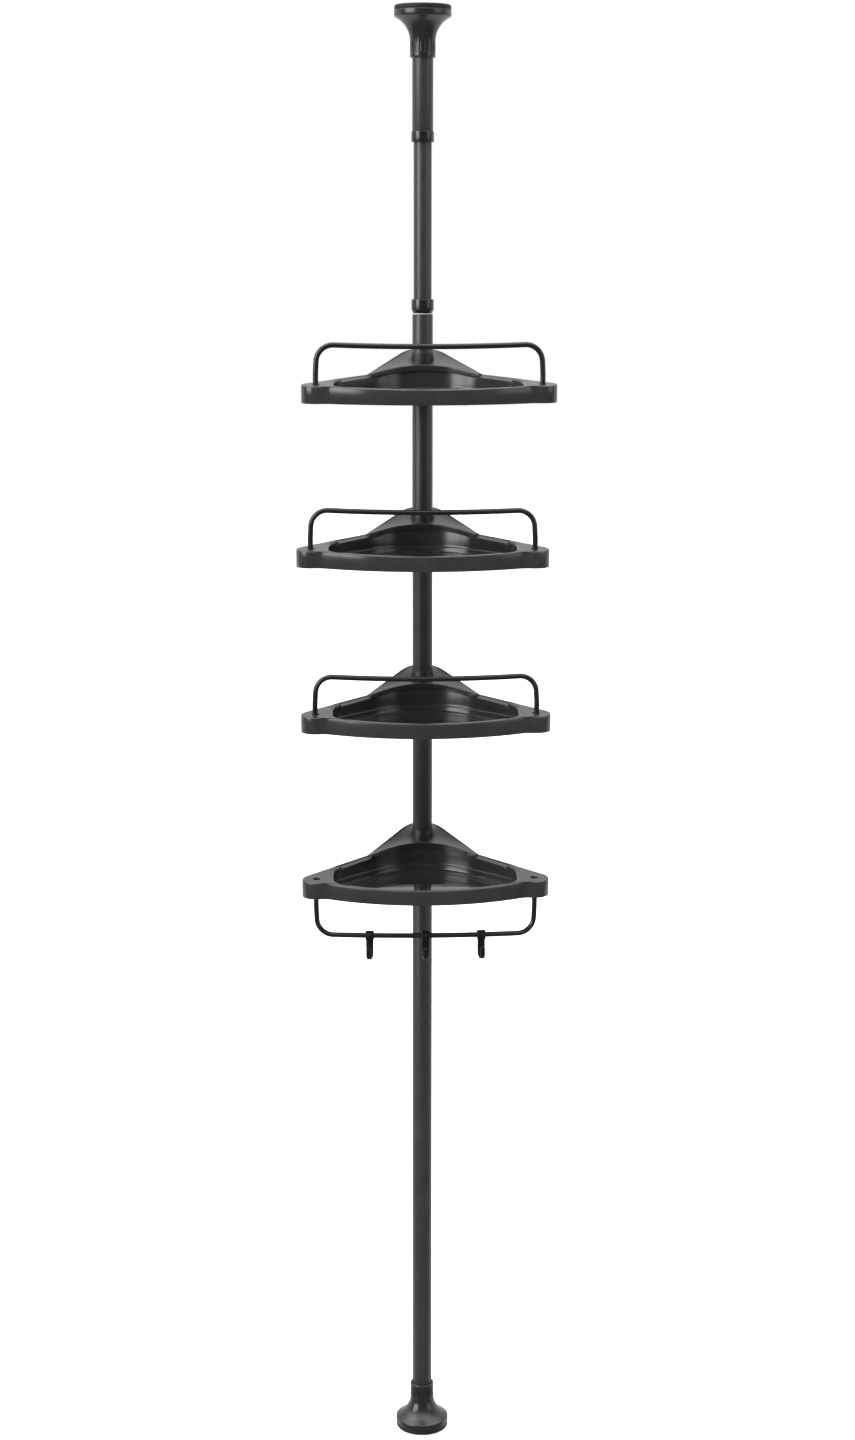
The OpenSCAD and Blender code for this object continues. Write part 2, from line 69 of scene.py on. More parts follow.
def material(name, colour, rough, specular=0.5, coat=0.0, coat_rough=0.1, grain=0.0, grain_size=900.0,
             rough_spread=0.03, tint_spread=0.12):
    """Moulded or painted surface: fine colour and gloss variation and a light grain."""
    m = bpy.data.materials.new(name)
    m.use_nodes = True
    nt = m.node_tree
    b = nt.nodes["Principled BSDF"]
    b.inputs["Specular IOR Level"].default_value = specular
    b.inputs["Coat Weight"].default_value = coat
    b.inputs["Coat Roughness"].default_value = coat_rough
    coords = nt.nodes.new("ShaderNodeTexCoord")
    cloud = nt.nodes.new("ShaderNodeTexNoise")
    cloud.inputs["Scale"].default_value = 38.0
    cloud.inputs["Detail"].default_value = 4.0
    nt.links.new(coords.outputs["Object"], cloud.inputs["Vector"])
    tint = nt.nodes.new("ShaderNodeMapRange")
    tint.inputs["From Min"].default_value = 0.3
    tint.inputs["From Max"].default_value = 0.7
    tint.inputs["To Min"].default_value = 1.0 - tint_spread
    tint.inputs["To Max"].default_value = 1.0 + tint_spread
    nt.links.new(cloud.outputs["Fac"], tint.inputs["Value"])
    mix = nt.nodes.new("ShaderNodeVectorMath")
    mix.operation = "SCALE"
    mix.inputs[0].default_value = colour
    nt.links.new(tint.outputs["Result"], mix.inputs["Scale"])
    nt.links.new(mix.outputs["Vector"], b.inputs["Base Color"])
    spread = nt.nodes.new("ShaderNodeMapRange")
    spread.inputs["From Min"].default_value = 0.3
    spread.inputs["From Max"].default_value = 0.7
    spread.inputs["To Min"].default_value = max(0.01, rough - rough_spread)
    spread.inputs["To Max"].default_value = rough + rough_spread
    nt.links.new(cloud.outputs["Fac"], spread.inputs["Value"])
    nt.links.new(spread.outputs["Result"], b.inputs["Roughness"])
    if grain:
        fine = nt.nodes.new("ShaderNodeTexNoise")
        fine.inputs["Scale"].default_value = grain_size
        fine.inputs["Detail"].default_value = 2.0
        nt.links.new(coords.outputs["Object"], fine.inputs["Vector"])
        bump = nt.nodes.new("ShaderNodeBump")
        bump.inputs["Strength"].default_value = grain
        bump.inputs["Distance"].default_value = 0.0002
        nt.links.new(fine.outputs["Fac"], bump.inputs["Height"])
        nt.links.new(bump.outputs["Normal"], b.inputs["Normal"])
    return m


TRAY_WALL = material("tray_wall", (0.020, 0.020, 0.0205), 0.20, rough_spread=0.02)
TRAY_TOP = material("tray_top", (0.020, 0.020, 0.0205), 0.32, specular=0.42, rough_spread=0.03, grain=0.03)
TRAY_FLOOR = material("tray_floor", (0.010, 0.010, 0.0105), 0.05, specular=0.8, rough_spread=0.01,
                      tint_spread=0.05)
TUBE = material("tube_paint", (0.019, 0.0193, 0.020), 0.38, grain=0.08, grain_size=1400.0)
SLIM_TUBE = material("slim_tube_paint", (0.019, 0.0193, 0.020), 0.36, grain=0.06, grain_size=1400.0)
END = material("end_plastic", (0.012, 0.012, 0.0125), 0.24, rough_spread=0.02)
COLLAR = material("collar_plastic", (0.008, 0.008, 0.008), 0.20, rough_spread=0.02)
CLIP = material("clip_plastic", (0.010, 0.010, 0.010), 0.45, specular=0.4, grain=0.1)
RAIL = material("rail_coating", (0.008, 0.008, 0.008), 0.20, rough_spread=0.03)
HOOK = material("hook_plastic", (0.004, 0.004, 0.004), 0.5, specular=0.3, grain=0.1)
RUBBER = material("pad_rubber", (0.008, 0.008, 0.008), 0.6, specular=0.35, grain=0.25, grain_size=600.0)
NYLON = material("nylon", (0.36, 0.355, 0.34), 0.5, tint_spread=0.03)
STEEL = material("inner_steel", (0.55, 0.56, 0.58), 0.3)
STEEL.node_tree.nodes["Principled BSDF"].inputs["Metallic"].default_value = 1.0


# ---------------------------------------------------------------- mesh making

def make(name, verts, faces, mats, face_mat=None, sharp=35.0):
    """Mesh object from points in millimetres, smooth but for edges sharper than the angle given."""
    mesh = bpy.data.meshes.new(name)
    mesh.from_pydata([tuple(c * MM for c in v) for v in verts], [], faces)
    mesh.validate()
    mesh.update()
    mats = mats if isinstance(mats, (list, tuple)) else [mats]
    for m in mats:
        mesh.materials.append(m)
    if face_mat is not None:
        mesh.polygons.foreach_set("material_index", face_mat)
    mesh.shade_smooth()
    mesh.set_sharp_from_angle(angle=math.radians(sharp))
    obj = bpy.data.objects.new(name, mesh)
    bpy.context.scene.collection.objects.link(obj)
    return obj


def finish_piece(obj, slot, *nodes):
    """The piece stands for these CAD nodes and rides on their body; slot is not used."""
    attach(obj, BODY_OF[nodes[0]])
    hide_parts(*nodes)
    return obj


def ring_faces(rings, count, closed=True, wrap=False):
    """Quads between rings of count points each."""
    faces = []
    last = rings if wrap else rings - 1
    for i in range(last):
        a, b = i * count, ((i + 1) % rings) * count
        for k in range(count if closed else count - 1):
            q = (k + 1) % count
            faces.append((a + k, a + q, b + q, b + k))
    return faces


def turned(profile, steps=128):
    """Closed solid of revolution about the Z axis from a closed (r, z) profile."""
    verts = []
    for i in range(steps):
        t = 2 * math.pi * i / steps
        verts += [(r * math.cos(t), r * math.sin(t), z) for r, z in profile]
    return verts, ring_faces(steps, len(profile), closed=True, wrap=True)


def rounded(corners, default=0.4, steps=4):
    """Closed (r, z) outline with each corner rounded. A corner is (r, z) or (r, z, radius)."""
    out = []
    n = len(corners)
    for i in range(n):
        p = Vector(corners[i][:2])
        a = Vector(corners[i - 1][:2])
        b = Vector(corners[(i + 1) % n][:2])
        rad = corners[i][2] if len(corners[i]) > 2 else default
        u, v = (a - p), (b - p)
        lu, lv = u.length, v.length
        u, v = u / lu, v / lv
        angle = u.angle(v)
        if rad <= 0 or angle > math.pi - 0.05:
            out.append(tuple(p))
            continue
        cut = min(rad / math.tan(angle / 2), 0.45 * lu, 0.45 * lv)
        rad = cut * math.tan(angle / 2)
        centre = p + (u + v).normalized() * (rad / math.sin(angle / 2))
        p0, p1 = p + u * cut, p + v * cut
        a0, a1 = (p0 - centre), (p1 - centre)
        t0 = math.atan2(a0.y, a0.x)
        t1 = math.atan2(a1.y, a1.x)
        d = (t1 - t0 + math.pi) % (2 * math.pi) - math.pi
        for k in range(steps + 1):
            t = t0 + d * k / steps
            out.append((centre.x + rad * math.cos(t), centre.y + rad * math.sin(t)))
    return out


def moved(verts, turn=0.0, shift=(0, 0, 0)):
    c, s = math.cos(turn), math.sin(turn)
    return [(x * c - y * s + shift[0], x * s + y * c + shift[1], z + shift[2]) for x, y, z in verts]


def cut(obj, cutters):
    """Subtracts the cutters from obj and removes them."""
    for c in cutters:
        mod = obj.modifiers.new("cut", "BOOLEAN")
        mod.operation = "DIFFERENCE"
        mod.solver = "EXACT"
        mod.object = c
    bpy.context.view_layer.update()
    mesh = bpy.data.meshes.new_from_object(obj.evaluated_get(bpy.context.evaluated_depsgraph_get()))
    old = obj.data
    obj.modifiers.clear()
    obj.data = mesh
    bpy.data.meshes.remove(old)
    for c in cutters:
        data = c.data
        bpy.data.objects.remove(c)
        bpy.data.meshes.remove(data)
    mesh.shade_smooth()
    mesh.set_sharp_from_angle(angle=math.radians(35))


# ---------------------------------------------------------------- pole and its ends

def tube_piece(node, name, mat, slot, wall=1.0):
    low, high = span(node)
    r = high[0]
    profile = rounded([(r - wall, low[2]), (r, low[2]), (r, high[2]), (r - wall, high[2])], 0.3, 3)
    obj = make(name, *turned(profile, 128), mat)
    return finish_piece(obj, slot, node)


tube_piece("lower_pole", "lower_pole_tube", TUBE, "tube_paint")
tube_piece("upper_pole", "upper_pole_tube", TUBE, "tube_paint")
tube_piece("slide_tube", "slim_tube", SLIM_TUBE, "tube_paint")
tube_piece("upper_tube", "ceiling_tube", TUBE, "tube_paint")

low, high = span("lock_collar")
r, z0, z1 = high[0], low[2], high[2]
bore = span("slide_tube")[1][0] + 0.05
finish_piece(make("lock_collar_ring", *turned(rounded(
    [(bore, z0), (r - 1.9, z0, 0.5), (r, z0 + 4.2, 1.2), (r, z1, 0.9), (bore, z1, 0.2)], 0.3)), COLLAR),
    "end_plastic", "lock_collar")

low, high = span("lock_sleeve")
flange = span("upper_pole")[1][2]
tube_bore = span("upper_pole")[1][0] - 1.0
finish_piece(make("lock_sleeve_nylon", *turned(rounded(
    [(bore, low[2]), (tube_bore, low[2]), (tube_bore, flange), (high[0], flange), (high[0], high[2]),
     (bore, high[2])], 0.2, 2)), NYLON), "nylon", "lock_sleeve")

low, high = span("upper_collar")
r, z0, z1 = high[0], low[2], high[2]
ring_top = span("upper_tube")[0][2]
finish_piece(make("upper_collar_ring", *turned(rounded(
    [(bore, z0), (r, z0, 0.6), (r, ring_top, 1.0), (tube_bore, ring_top, 0.1), (tube_bore, z1),
     (bore, z1)], 0.3)), COLLAR), "end_plastic", "upper_collar")


def bell_points(z_face, up):
    """Bell with a grooved neck: z_face is its pad's outer end, up is 1 on the floor and -1 at the ceiling."""
    bell_low, bell_high = span("foot_bell" if up > 0 else "ceiling_bell")
    height = bell_high[2] - bell_low[2]
    pad = abs((bell_low[2] if up > 0 else bell_high[2]) - z_face)
    rim_r = bell_high[0]
    neck_r, flare_r, flare_z = 15.2, 30.8, 42.0
    profile = [(12.5, 14.0), (12.5, pad + height - 0.6), (12.9, pad + height - 0.15), (13.4, pad + height),
               (neck_r - 1.2, pad + height), (neck_r - 0.55, pad + height - 0.2),
               (neck_r - 0.12, pad + height - 0.75)]
    profile += [(neck_r, z) for z in np.linspace(pad + height - 1.5, flare_z + 0.01, 14)]
    for k in range(1, 25):
        t = math.radians(180 + 82.0 * k / 24)
        x = neck_r + flare_r + flare_r * math.cos(t)
        z = flare_z + flare_r * math.sin(t)
        if x > rim_r - 2.4 or z < pad + 8.2:
            break
        profile.append((x, z))
    profile += [(rim_r - 1.5, pad + 8.4), (rim_r - 0.7, pad + 8.05), (rim_r - 0.2, pad + 7.5),
                (rim_r, pad + 6.7), (rim_r, pad + 4.0), (rim_r, pad + 1.4), (rim_r - 0.15, pad + 0.7),
                (rim_r - 0.6, pad + 0.2), (rim_r - 1.2, pad)]
    profile += [(rim_r - 3.4, pad), (rim_r - 3.4, pad + 4.0), (13.0, pad + 4.0), (13.0, 14.0)]
    steps, grooves = 400, 20
    verts = []
    for i in range(steps):
        t = 2 * math.pi * i / steps
        u = ((t / (2 * math.pi) * grooves + 0.22) % 1.0) - 0.5
        side = abs(u) * 2 * math.pi * neck_r / grooves
        across = min(1.0, max(0.0, (1.15 - side) / 0.45))
        across = across * across * (3 - 2 * across)
        for r, z in profile:
            along = 0.0
            if r > neck_r - 0.01 and flare_z - 6 < z < pad + height - 1.0:
                low_end = min(1.0, max(0.0, (z - (flare_z - 0.6)) / 1.2))
                high_end = min(1.0, max(0.0, (pad + height - 5.6 - z) / 0.8))
                along = low_end * high_end
            rr = r - 0.85 * across * along
            zz = z_face + up * z
            verts.append((rr * math.cos(t), rr * math.sin(t), zz))
    faces = ring_faces(steps, len(profile), closed=True, wrap=True)
    if up < 0:
        faces = [tuple(reversed(f)) for f in faces]
    return verts, faces


def pad_points(z_face, up):
    bell_low, bell_high = span("foot_bell" if up > 0 else "ceiling_bell")
    pad = abs((bell_low[2] if up > 0 else bell_high[2]) - z_face)
    r = bell_high[0] - 0.4
    profile = rounded([(0.5, 0), (13.6, 0), (14.2, 0.7), (15.4, 0.7), (16, 0), (19.6, 0), (20.2, 0.7),
                       (21.4, 0.7), (22, 0), (25.6, 0), (26.2, 0.7), (27.4, 0.7), (28, 0),
                       (r - 1.2, 0, 1.0), (r, 1.4, 1.0), (r, pad, 0.2), (r - 3.0, pad),
                       (r - 3.0, pad + 3.9), (0.5, pad + 3.9)], 0.25, 2)
    verts, faces = turned(profile, 160)
    verts = [(x, y, z_face + up * z) for x, y, z in verts]
    if up < 0:
        faces = [tuple(reversed(f)) for f in faces]
    return verts, faces


floor_z = span("floor_pad")[0][2]
ceiling_z = span("ceiling_pad")[1][2]
finish_piece(make("foot_bell_shell", *bell_points(floor_z, 1), END), "end_plastic", "foot_bell")
finish_piece(make("ceiling_bell_shell", *bell_points(ceiling_z, -1), END), "end_plastic", "ceiling_bell")
finish_piece(make("foot_rubber", *pad_points(floor_z, 1), RUBBER), "pad_rubber", "floor_pad")
finish_piece(make("ceiling_rubber", *pad_points(ceiling_z, -1), RUBBER), "pad_rubber", "ceiling_pad")

frame["nodes"]["pole_joiner"].data.materials[0] = STEEL
for node in ("guide_plug", "spring_seat"):
    frame["nodes"][node].data.materials[0] = CLIP

# the spring stands on its seat, a copy of the CAD coil
coil = frame["nodes"]["tension_spring"].data
coil_verts = [tuple(v.co / MM) for v in coil.vertices]
coil_faces = [tuple(p.vertices) for p in coil.polygons]
spring = make("coil_spring", coil_verts, coil_faces, STEEL)
finish_piece(spring, "inner_steel", "tension_spring")
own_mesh(spring)


# ---------------------------------------------------------------- trays

def tray_frame(n):
    """Height of tray n's bosses and its turn about the pole, from its rail's two posts."""
    z = JOINTS[f"swivel_{n}"]["pos_m"][2] / MM
    co = np.array([v.co for v in frame["nodes"][f"rail_{n}"].data.vertices]) / MM
    ends = co[abs(co[:, 2] - z) <= 20.0]
    left, right = ends[ends[:, 0] < 0], ends[ends[:, 0] > 0]
    a = (left.min(0) + left.max(0)) / 2
    b = (right.min(0) + right.max(0)) / 2
    return z, math.atan2(b[1] - a[1], b[0] - a[0]), float(np.hypot(*(b - a)[:2])) / 2


HUB_R = 21.4
WIRE_R = 3.2
CLEARANCE = 0.05
CORNER = HUB_R * math.sqrt(2)
BOSS_R = 17.7
BOSS_X = tray_frame(2)[2]
BOSS_Y = CORNER - BOSS_R * math.sqrt(2) - BOSS_X
FRONT_R, FRONT_CY = 235.0, 59.0
WEB_R = 20.0
RIM_W, STRIP_W = 5.5, 7.0
SLOPE = math.tan(math.radians(4.2))
LIP_R = 91.0
INNER_CORNER = CORNER - STRIP_W * math.sqrt(2)
LIP_CY = INNER_CORNER - LIP_R * math.sqrt(2)
BASIN_X, BASIN_R = 111.5, 32.0
NOTCH = 113.0
DRAFT_TOP, DRAFT_LOW = math.tan(math.radians(7.2)), math.tan(math.radians(3.4))
BOTTOM, LEDGE, FLOOR = -20.0, -10.0, -17.0
CROWN_R, CROWN_H, CROWN_Y = 580.0, 5.5, -95.0


def plane(y):
    """Height of the rim's plane, which rises towards the pole."""
    return (y - BOSS_Y + 20.4) * SLOPE


def wall_at(z):
    """Outward offset of the basin's wall at height z; the draft is wider at the top."""
    a, b = DRAFT_LOW, (DRAFT_TOP - DRAFT_LOW) / 42.0
    return a * (z - 2.0) + b * ((z + 10.0) ** 2 - 144.0)


def floor_z_at(x, y):
    """Height of the basin's slightly domed floor."""
    return max(FLOOR, FLOOR + CROWN_H - (x * x + (y - CROWN_Y) ** 2) / (2 * CROWN_R))


def arc_points(c, r, a0, a1, n, outward=1):
    """n + 1 points on an arc with unit normals away from the arc's centre, or towards it."""
    out = []
    for i in range(n + 1):
        t = math.radians(a0 + (a1 - a0) * i / n)
        d = (math.cos(t), math.sin(t))
        out.append((c[0] + r * d[0], c[1] + r * d[1], outward * d[0], outward * d[1]))
    return out


def along(path, count):
    """count + 1 points evenly spaced along a path of (x, y, nx, ny)."""
    p = np.array(path)
    d = np.r_[0, np.cumsum(np.hypot(*(np.diff(p[:, :2], axis=0).T)))]
    t = np.linspace(0, d[-1], count + 1)
    q = np.stack([np.interp(t, d, p[:, k]) for k in range(4)], 1)
    q[:, 2:] /= np.hypot(q[:, 2], q[:, 3])[:, None]
    return [tuple(x) for x in q]


def lip_z(x):
    return 17.8 - 8.0 * (x / 62.0) ** 2


def crest_z(x):
    u = max(0.0, abs(x) - 12.0)
    return 35.0 - 0.54 * u * u / 32.0 if u < 16.0 else 35.0 - 0.54 * (u - 8.0)


def back_edge(a):
    """Distance from the lip's centre to the back edge along a ray at angle a."""
    if abs(a) > math.atan(CORNER / 2 / (CORNER / 2 - LIP_CY)):
        return (CORNER - LIP_CY) / (math.sin(abs(a)) + math.cos(a))
    return -LIP_CY * math.cos(a) + math.sqrt(HUB_R ** 2 - (LIP_CY * math.sin(a)) ** 2)


def half_columns():
    """Right half of the tray as pairs of outline points, from the middle of the front to the hub."""
    c, b = (0.0, FRONT_CY), (BOSS_X, BOSS_Y)
    d = math.hypot(b[0] - c[0], b[1] - c[1])
    rc, rb = FRONT_R + WEB_R, BOSS_R + WEB_R
    turn = math.degrees(math.acos((rc * rc + d * d - rb * rb) / (2 * rc * d)))
    ac = math.degrees(math.atan2(b[1] - c[1], b[0] - c[0])) - turn
    f = (c[0] + rc * math.cos(math.radians(ac)), c[1] + rc * math.sin(math.radians(ac)))
    ab = math.degrees(math.atan2(f[1] - b[1], f[0] - b[0]))
    x, rf = BASIN_X - BASIN_R, FRONT_R - RIM_W
    front_y = FRONT_CY - math.sqrt((rf - BASIN_R) ** 2 - x * x)
    back_y = INNER_CORNER - BASIN_R * math.sqrt(2) - x
    af = math.degrees(math.atan2(front_y - FRONT_CY, x))
    s = math.sqrt(0.5)
    columns = []
    outer = along(arc_points(c, FRONT_R, -90, ac, 60), 40)
    inner = along(arc_points(c, rf, -90, af, 60), 40)
    columns += [("front", o, i) for o, i in zip(outer[:-1], inner[:-1])]
    outer = arc_points(f, WEB_R, ac + 180, ab + 180, 12, -1)[:-1] + arc_points(b, BOSS_R, ab, 45, 30)
    outer += [(NOTCH + 0.1, CORNER - NOTCH - 0.1, s, s)]
    inner = arc_points((x, front_y), BASIN_R, af, 0, 12)[:-1] + arc_points((x, back_y), BASIN_R, 0, 45, 12)
    wide = along(outer, 64)
    tight = along(inner, 64)
    columns += [("end", o, i) for o, i in zip(wide, tight)]
    start = (LIP_R * s, LIP_CY + LIP_R * s)
    far = (back_edge(math.pi / 4) * s, LIP_CY + back_edge(math.pi / 4) * s)
    edge = inner[-1]
    for t in (0.0, 0.04, 0.048, 0.1, 0.2, 0.3, 0.4, 0.5, 0.6, 0.7, 0.8, 0.9, 1.0):
        ox = (NOTCH - 0.1) * (1 - t) + (far[0] + 0.6) * t
        ix = edge[0] * (1 - t) + (start[0] + 0.6) * t
        columns.append(("back", (ox, CORNER - ox, s, s), (ix, INNER_CORNER - ix, s, s)))
    for k in range(31):
        a = math.radians(45 * (1 - k / 30))
        sa, ca = math.sin(a), math.cos(a)
        r_out = back_edge(a)
        p = (r_out * sa, LIP_CY + r_out * ca)
        normal = (s, s) if p[0] > HUB_R * s else (p[0] / HUB_R, p[1] / HUB_R)
        columns.append(("hub", (*p, *normal), (LIP_R * sa, LIP_CY + LIP_R * ca, sa, ca)))
    return columns


# Edge roundings towards the basin, as (inset, drop) pairs.
TIGHT_EDGE = ((1.1, 0.0), (0.9, 0.03), (0.7, 0.08), (0.5, 0.18), (0.32, 0.32), (0.12, 0.62), (0.02, 1.0),
              (0.0, 1.6))
WIDE_EDGE = ((6.5, 0.0), (5.4, 0.14), (4.2, 0.42), (3.2, 0.80), (2.2, 1.0), (1.2, 1.5), (0.45, 2.3),
             (0.0, 3.6))
LIP_EDGE = ((0.8, 0.0), (0.55, 0.04), (0.32, 0.12), (0.15, 0.27), (0.05, 0.5), (0.0, 0.8), (0.0, 1.4),
            (0.0, 2.2))
TIGHT_DROP, WIDE_DROP = TIGHT_EDGE[-1][1], WIDE_EDGE[-1][1]
LIP_OVERHANG = 1.6


def column_profile(kind, outer, inner, step, count):
    """Section of the tray through one pair of outline points, from the outer bottom edge to the floor."""
    ox, oy, onx, ony = outer
    ix, iy, inx, iny = inner
    share = step / max(1, count - 1)
    hub, strip = kind == "hub", kind == "back"
    gap = 2.2 if strip and step < 2 else 0.0
    end = max(0.0, math.sin(math.pi * share)) ** 0.5 if kind == "end" else 0.0
    if hub:
        h_out, h_in = crest_z(ox), lip_z(ix)
    elif strip:
        h_out, h_in = plane(oy), plane(oy) - 3.0 - 0.6 * gap
    else:
        h_out, h_in = plane(oy), plane(iy) - 0.5 * end
    soft = 0.5 if strip else (0.9 if hub else 1.4)
    pts = []

    def out_pt(inset, z):
        pts.append((ox - onx * inset, oy - ony * inset, z))

    def in_pt(offset, z):
        pts.append((ix + inx * offset, iy + iny * offset, z))

    def between(t, z):
        pts.append((ox * (1 - t) + ix * t, oy * (1 - t) + iy * t, z))

    out_pt(1.3, BOTTOM)
    out_pt(0.8, BOTTOM)
    out_pt(0.24, BOTTOM + 0.24)
    out_pt(0.0, BOTTOM + 0.8)
    for t in (0, 22.5, 45, 67.5, 90):
        a = math.radians(t)
        out_pt(soft * (1 - math.cos(a)), h_out - soft + soft * math.sin(a))
    edge = {"hub": 0.4, "end": 1.1 + 5.4 * end, "back": 0.9, "front": 1.1}[kind]
    if strip:
        for t, drop in ((0.10, 0.0), (0.14, 0.05), (0.19, 0.35 + gap * 0.3), (0.24, 0.7 + gap * 0.6),
                        (0.32, 1.15 + gap * 0.9), (0.40, 1.6 + gap), (0.45, 1.82 + gap), (0.49, 1.95 + gap),
                        (0.54, 2.08 + gap), (0.60, 2.2 + gap), (0.66, 2.35 + gap), (0.72, 2.5 + gap),
                        (0.79, 2.7 + gap * 0.9), (0.86, 2.9 + gap * 0.8)):
            between(t, h_out - drop)
    else:
        start = (ox - onx * (soft + 0.3), oy - ony * (soft + 0.3))
        stop = (ix + inx * edge, iy + iny * edge)
        ray = math.hypot(ox, oy - LIP_CY)
        near = LIP_R + 0.2
        for k in range(14):
            t = (k + 0.5) / 14.5
            x, y = start[0] * (1 - t) + stop[0] * t, start[1] * (1 - t) + stop[1] * t
            if hub:
                q = min(1.0, max(0.0, (math.hypot(x, y - LIP_CY) - near) / (ray - near)))
                pts.append((x, y, h_in + (h_out - h_in) * q ** 1.35))
            else:
                pts.append((x, y, plane(y)))
    roll = min(1.0, step / 4.0) if hub else 0.0
    # the edge towards the basin: a lip over the hub, a wide double rounding at the ends
    if kind == "end":
        base = plane(iy)
        top = base - (WIDE_DROP * end + TIGHT_DROP * (1 - end))
        for (a, b), (p, q) in zip(WIDE_EDGE, TIGHT_EDGE):
            in_pt(wall_at(top) + a * end + p * (1 - end), base - (b * end + q * (1 - end)))
    elif hub:
        band = 7.0 * roll + 3.0 * (1 - roll)
        w = wall_at(h_in - band - 0.25)
        o = w - LIP_OVERHANG * roll
        for off, drop in LIP_EDGE:
            in_pt(o + off, h_in - drop)
    else:
        top = h_in - TIGHT_DROP
        for off, drop in TIGHT_EDGE:
            in_pt(wall_at(top) + off * 0.8, h_in - drop)
    # foot of the lip, then the wall down to the ledge
    if hub:
        for f, drop in ((1.0, band - 0.9), (0.97, band - 0.35), (0.75, band), (0.3, band + 0.15),
                        (0.0, band + 0.25)):
            in_pt(w - LIP_OVERHANG * roll * f, h_in - drop)
        top = h_in - band - 0.25
    else:
        for k in range(5):
            top -= 0.12
            in_pt(wall_at(top), top)
    height = top - LEDGE - 0.7
    for k in range(1, 8):
        z = top - height * k / 7
        in_pt(wall_at(z), z)
    wall = wall_at(LEDGE + 0.7)
    in_pt(wall - 0.2, LEDGE + 0.2)
    in_pt(wall - 0.7, LEDGE)
    lower = wall - 2.4
    in_pt(lower + 1.0, LEDGE)
    in_pt(lower + 0.62, LEDGE - 0.08)
    in_pt(lower + 0.29, LEDGE - 0.29)
    in_pt(lower + 0.08, LEDGE - 0.62)
    in_pt(lower, LEDGE - 1.0)
    foot = (ix + inx * (lower - 1.6), iy + iny * (lower - 1.6))
    low = floor_z_at(*foot)
    in_pt(lower - 0.3, low + 1.6)
    in_pt(lower - 0.75, low + 0.5)
    in_pt(lower - 1.6, low)
    for k in range(1, 22):
        t = (k / 22) ** 0.85
        x, y = foot[0] * (1 - t), foot[1] * (1 - t) + CROWN_Y * t
        pts.append((x, y, floor_z_at(x, y)))
    return pts


FLOOR_ROWS = 23


def tray_mesh():
    """Closed tray in its own frame, with its face materials."""
    half = half_columns()
    counts = {}
    for kind, _, _ in half:
        counts[kind] = counts.get(kind, 0) + 1
    seen, right = {}, []
    for kind, o, i in half:
        k = seen.get(kind, 0)
        seen[kind] = k + 1
        right.append(column_profile(kind, o, i, k, counts[kind]))
    left = [[(-x, y, z) for x, y, z in col] for col in right[1:-1]]
    columns = right + left[::-1]
    m = len(columns[0])
    verts = [p for col in columns for p in col]
    n = len(columns)
    faces, mats = [], []
    for i in range(n):
        a, b = i * m, ((i + 1) % n) * m
        for k in range(m - 1):
            faces.append((a + k, b + k, b + k + 1, a + k + 1))
            mats.append(1 if 7 <= k < 27 else 2 if k >= m - FLOOR_ROWS else 0)
    faces.append(tuple(i * m + m - 1 for i in range(n)))
    mats.append(2)
    faces.append(tuple(i * m for i in range(n - 1, -1, -1)))
    mats.append(0)
    return verts, faces, mats


def cutter(name, profile, x=0.0, y=0.0, steps=48):
    verts, faces = [], []
    count = len(profile)
    for i in range(steps):
        t = 2 * math.pi * i / steps
        verts += [(x + r * math.cos(t), y + r * math.sin(t), z) for r, z in profile]
    for i in range(steps):
        a, b = i * count, ((i + 1) % steps) * count
        faces += [(a + k, b + k, b + k + 1, a + k + 1) for k in range(count - 1)]
    faces.append(tuple(i * count + count - 1 for i in range(steps)))
    faces.append(tuple(i * count for i in range(steps - 1, -1, -1)))
    return make(name, verts, faces, TRAY_WALL)


CLIP_BOTTOM, CLIP_TOP = -18.0, 32.0
CLIP_R0, CLIP_R1 = 14.9, 13.3


def tray_cutters():
    """Cutters of the hub's bore, the two post holes and the row of drain holes."""
    low, high = CLIP_R0 + CLEARANCE, CLIP_R1 + CLEARANCE
    post = WIRE_R + CLEARANCE
    cuts = [cutter("bore", [(CLIP_R0 + 0.6, BOTTOM - 2), (low, BOTTOM + 0.6), (low, CLIP_BOTTOM),
                            (high, CLIP_TOP), (high, 60.0)], steps=96)]
    for s in (-1, 1):
        x = s * BOSS_X
        cuts.append(cutter("hole", [(4.9, -22.0), (4.4, -19.6), (4.4, -17.0), (post, -17.0), (post, -3.0),
                                    (4.4, -3.0),
                                    (4.4, 0.6), (4.8, 1.7), (4.8, 6.0)], x, BOSS_Y))
    for i in range(-4, 5):
        a = math.radians(-90 + 4.5 * i)
        r = FRONT_R - 16.0
        cuts.append(cutter("drain", [(2.4, -22.0), (2.0, -19.6), (2.0, -17.4), (2.5, -16.9), (2.5, -12.0)],
                           r * math.cos(a), FRONT_CY + r * math.sin(a), 24))
    return cuts


verts, faces, mats = tray_mesh()
master = make("tray_master", verts, faces, [TRAY_WALL, TRAY_TOP, TRAY_FLOOR], mats)
cut(master, tray_cutters())


def sleeve_half(side, gap=1.0):
    """Half of a wedge clip, a split cone round the pole."""
    bore = span("lower_pole")[1][0] + 0.05
    profile = rounded([(bore, CLIP_BOTTOM), (CLIP_R0, CLIP_BOTTOM), (CLIP_R1 + 0.25, CLIP_TOP - 9, 8.0),
                       (bore + 0.3, CLIP_TOP, 0.1), (bore, CLIP_TOP, 0)], 0.3, 4)
    steps = 48
    verts = []
    for i in range(steps + 1):
        for r, z in profile:
            edge = math.asin(gap / 2 / r)
            t = edge + (math.pi - 2 * edge) * i / steps
            verts.append((r * math.cos(t), side * r * math.sin(t), z))
    count = len(profile)
    faces = ring_faces(steps + 1, count)
    faces += [tuple(range(count - 1, -1, -1)), tuple(steps * count + k for k in range(count))]
    if side < 0:
        faces = [tuple(reversed(f)) for f in faces]
    return verts, faces


